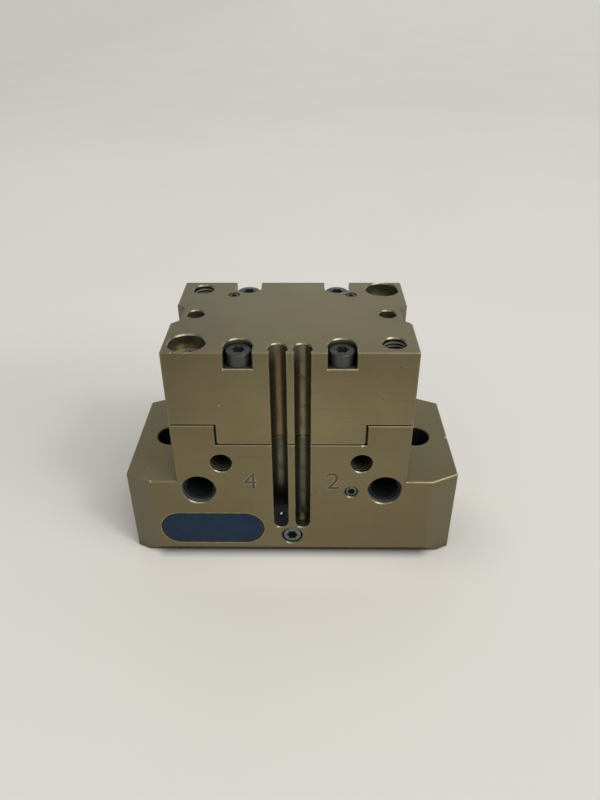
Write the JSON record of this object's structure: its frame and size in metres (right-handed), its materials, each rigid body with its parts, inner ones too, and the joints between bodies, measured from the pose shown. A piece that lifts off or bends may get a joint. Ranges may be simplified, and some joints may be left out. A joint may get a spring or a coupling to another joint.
{
  "type": "pneumatic parallel gripper",
  "caption": "Two-jaw pneumatic parallel gripper with toothed jaw guide, wedge-hook drive, oval piston and a bolted spring block that holds the jaws closed.",
  "frame": {"origin": "centre of the footprint, on the plane of the jaw faces", "axes": "+X along the jaw travel, +Y from the port face to the rear, +Z from the jaw face to the mounting face"},
  "size_m": [0.08, 0.0376, 0.0588],
  "materials": {
    "anodised": "hard anodised, satin, olive bronze",
    "jaw_steel": "ground",
    "black_oxide": "black oxide",
    "bright_steel": "bright",
    "spring_steel": "drawn",
    "bare_aluminium": "turned",
    "bush_bronze": "sintered",
    "seal_rubber": "matt",
    "stop_plastic": "matt",
    "label": "satin, deep blue with a dark rim"
  },
  "bodies": {
    "housing": {"housing": "anodised", "spring_housing": "anodised", "seam_gasket": "seal_rubber", "port_seals": "seal_rubber", "clamp_screws": "black_oxide", "top_port_plugs": "black_oxide", "purge_plug": "black_oxide", "side_plug": "black_oxide", "label_plate": "label", "sensor_stop": "stop_plastic", "sensor_stop_screw": "bright_steel", "rod_bush": "bush_bronze", "rod_seal": "seal_rubber", "centre_cover": "bright_steel", "cover_screws": "black_oxide", "closing_springs": "spring_steel"},
    "drive": {"piston": "bare_aluminium", "piston_seal": "seal_rubber", "piston_magnets": "bright_steel", "wedge_hook": "jaw_steel", "rod_o_ring": "seal_rubber", "piston_screw": "black_oxide"},
    "jaw_left": {"base_jaw_left": "jaw_steel"},
    "jaw_right": {"base_jaw_right": "jaw_steel"}
  },
  "joints": [
    {"name": "piston_slide", "type": "slide", "parent": "housing", "child": "drive", "axis": [0, 0, -1], "range_m": [0, 0.006], "stiffness_N_per_m": 6000, "deforming": ["closing_springs"]},
    {"name": "jaw_left_slide", "type": "slide", "parent": "housing", "child": "jaw_left", "axis": [-1, 0, 0], "range_m": [0, 0.006]},
    {"name": "jaw_right_slide", "type": "slide", "parent": "housing", "child": "jaw_right", "axis": [1, 0, 0], "range_m": [0, 0.006]}
  ],
  "couplings": [
    {"joint": "jaw_left_slide", "follows": "piston_slide", "ratio": 1},
    {"joint": "jaw_right_slide", "follows": "piston_slide", "ratio": 1}
  ]
}
